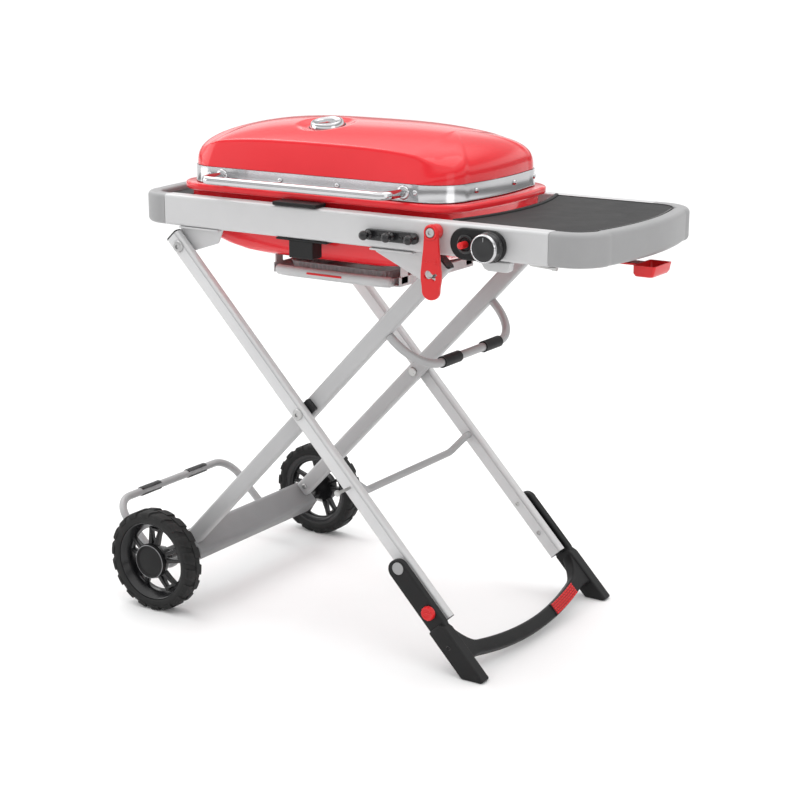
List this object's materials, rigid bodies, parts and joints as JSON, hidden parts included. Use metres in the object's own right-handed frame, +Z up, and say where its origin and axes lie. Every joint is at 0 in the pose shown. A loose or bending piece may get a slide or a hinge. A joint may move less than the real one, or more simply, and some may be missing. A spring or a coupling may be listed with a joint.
{
  "type": "gas grill on a folding cart",
  "caption": "Gas grill with a hinged lid and a side shelf in a framed table, on crossed folding legs with wheels, hoop handles and a foot bar.",
  "frame": {"origin": "on the floor under the middle of the whole grill", "axes": "+X towards the side shelf, -Y the front with the knob, +Z up"},
  "size_m": [1.1138, 0.5934, 0.9496],
  "materials": {
    "silver_paint": "satin silver paint",
    "grey_plastic": "satin moulded grey",
    "shelf": "fine-grained dark grey",
    "red_enamel": "gloss enamel",
    "chrome": "polished",
    "steel": "plain steel",
    "cast_iron": "seasoned black",
    "brass": "machined",
    "black_plastic": "satin moulded black",
    "tyre": "matt black",
    "red_plastic": "gloss red",
    "foil": "bright foil"
  },
  "bodies": {
    "table": {"front_rail": "silver_paint", "rear_rail": "silver_paint", "left_end_cap": "grey_plastic", "right_end_cap": "grey_plastic", "side_shelf": "shelf", "shelf_trim": "black_plastic", "bowl": "red_enamel", "cooking_grate": "cast_iron", "burner_tube": "steel", "lid_hinge": "steel", "hook_rack": "black_plastic", "control_bezel": "black_plastic", "gas_valve": "brass", "lever_bolt": "steel", "rail_bracket": "silver_paint", "tray_hanger_left": "silver_paint", "tray_hanger_right": "silver_paint", "saddle_clamp_front": "black_plastic", "saddle_clamp_rear": "black_plastic", "hinge_plate_front": "silver_paint", "hinge_plate_rear": "silver_paint", "catch_plate_front": "silver_paint", "catch_plate_rear": "silver_paint"},
    "lid": {"lid": "red_enamel", "lid_band": "chrome", "lid_handle": "chrome", "gauge_housing": "chrome"},
    "gauge_needle": {"gauge_needle": "red_plastic"},
    "knob_stem": {"knob_stem": "steel"},
    "control_knob": {"control_knob": "black_plastic"},
    "igniter_button": {"igniter_button": "red_plastic"},
    "release_lever": {"release_lever": "red_plastic"},
    "drip_tray": {"drip_tray": "chrome", "foil_pan": "foil"},
    "fold_grip": {"fold_grip": "red_plastic"},
    "outer_legs": {"outer_leg_front": "silver_paint", "outer_leg_rear": "silver_paint", "cross_tube": "silver_paint", "cross_tube_screw": "steel", "foot_frame": "black_plastic", "foot_grip_pad": "red_plastic"},
    "foot_latch_knob": {"foot_latch_knob": "red_plastic"},
    "inner_legs": {"inner_leg_front": "silver_paint", "inner_leg_rear": "silver_paint", "pivot_bolt_front": "steel", "pivot_bolt_rear": "steel", "axle_box": "silver_paint", "axle": "steel", "lower_handle": "silver_paint", "upper_handle": "silver_paint", "handle_sleeve_front": "black_plastic", "handle_sleeve_rear": "black_plastic"},
    "wheel_front": {"wheel_rim_front": "black_plastic", "tyre_front": "tyre", "hub_cap_front": "black_plastic"},
    "wheel_rear": {"wheel_rim_rear": "black_plastic", "tyre_rear": "tyre", "hub_cap_rear": "black_plastic"}
  },
  "joints": [
    {"name": "outer_legs_fold", "type": "hinge", "parent": "table", "child": "outer_legs", "pos_m": [-0.32861, 0, 0.71222], "axis": [0, -1, 0], "range_deg": [0, 40]},
    {"name": "inner_legs_fold", "type": "hinge", "parent": "outer_legs", "child": "inner_legs", "pos_m": [-0.057, 0, 0.425], "axis": [0, 1, 0], "range_deg": [0, 80]},
    {"name": "wheel_front_spin", "type": "hinge", "parent": "inner_legs", "child": "wheel_front", "pos_m": [-0.3644, -0.2754, 0.1], "axis": [0, 1, 0], "continuous": true},
    {"name": "wheel_rear_spin", "type": "hinge", "parent": "inner_legs", "child": "wheel_rear", "pos_m": [-0.3644, 0.2754, 0.1], "axis": [0, 1, 0], "continuous": true},
    {"name": "lid_hinge", "type": "hinge", "parent": "table", "child": "lid", "pos_m": [-0.057, 0.196, 0.833], "axis": [-1, 0, 0], "range_deg": [0, 80]},
    {"name": "gauge_needle_turn", "type": "hinge", "parent": "lid", "child": "gauge_needle", "pos_m": [-0.1, -0.05953, 0.94284], "axis": [0, 0.1736, -0.9848], "range_deg": [0, 240], "stiffness_Nm_per_rad": 0.0001},
    {"name": "knob_push", "type": "slide", "parent": "table", "child": "knob_stem", "axis": [0, 1, 0], "range_m": [0, 0.004], "stiffness_N_per_m": 600},
    {"name": "knob_turn", "type": "hinge", "parent": "knob_stem", "child": "control_knob", "pos_m": [0.346, -0.25, 0.775], "axis": [0, -1, 0], "range_deg": [0, 140]},
    {"name": "igniter_press", "type": "slide", "parent": "table", "child": "igniter_button", "axis": [0, 1, 0], "range_m": [0, 0.005], "stiffness_N_per_m": 500},
    {"name": "release_lever_swing", "type": "hinge", "parent": "table", "child": "release_lever", "pos_m": [0.236, -0.229, 0.791], "axis": [0, -1, 0], "range_deg": [0, 35]},
    {"name": "drip_tray_slide", "type": "slide", "parent": "table", "child": "drip_tray", "axis": [0, 1, 0], "range_m": [-0.22, 0]},
    {"name": "fold_grip_pull", "type": "slide", "parent": "table", "child": "fold_grip", "axis": [1, 0, 0], "range_m": [0, 0.012], "stiffness_N_per_m": 800},
    {"name": "foot_latch_turn", "type": "hinge", "parent": "outer_legs", "child": "foot_latch_knob", "pos_m": [0.24558, -0.2477, 0.10969], "axis": [0, -1, 0], "range_deg": [0, 90]}
  ],
  "couplings": [
    {"joint": "inner_legs_fold", "follows": "outer_legs_fold", "ratio": 2}
  ]
}
